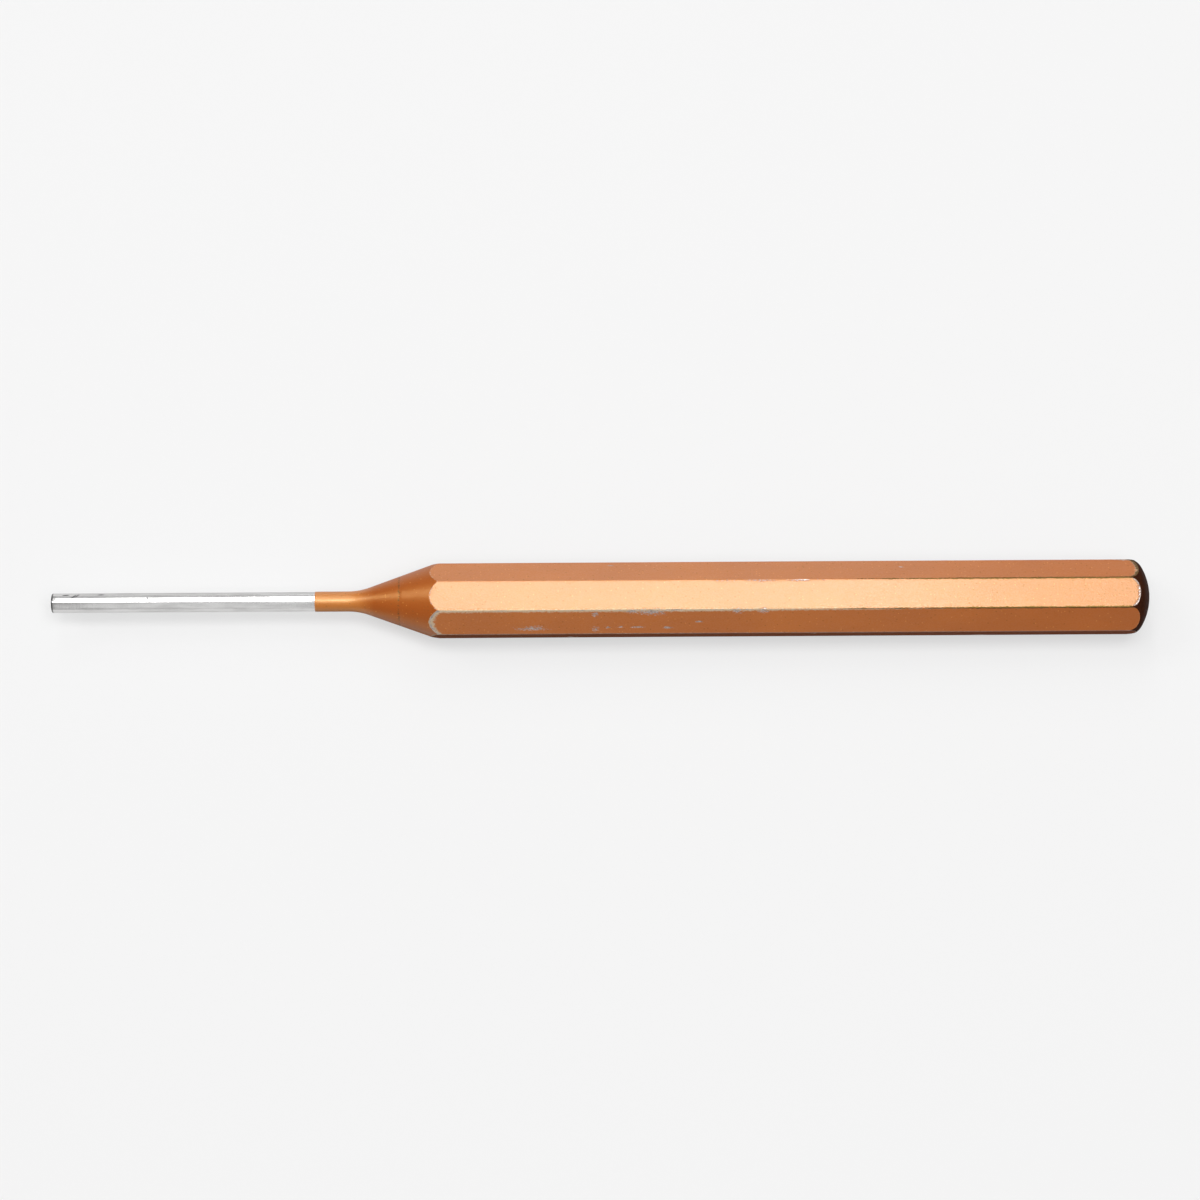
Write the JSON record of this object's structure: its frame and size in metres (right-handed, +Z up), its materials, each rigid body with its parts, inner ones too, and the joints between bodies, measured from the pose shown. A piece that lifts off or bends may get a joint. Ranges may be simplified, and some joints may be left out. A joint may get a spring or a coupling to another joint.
{
  "type": "pin punch",
  "caption": "Parallel pin punch: slim ground steel pin, conical neck, octagonal shank and crowned striking head, under a copper-coloured lacquer film that leaves the pin bare.",
  "frame": {"origin": "on the lacquered flat that the tool lies on, under the middle of the tool's box", "axes": "+X along the tool from the pin to the head, +Z up, square to the flat that the tool lies on"},
  "size_m": [0.15, 0.0098, 0.0098],
  "materials": {
    "bright_steel": "ground bright",
    "copper_lacquer": "satin metallic lacquer, worn along its edges"
  },
  "bodies": {
    "root": {"steel_body": "bright_steel", "lacquer_coat": "copper_lacquer"}
  },
  "joints": []
}
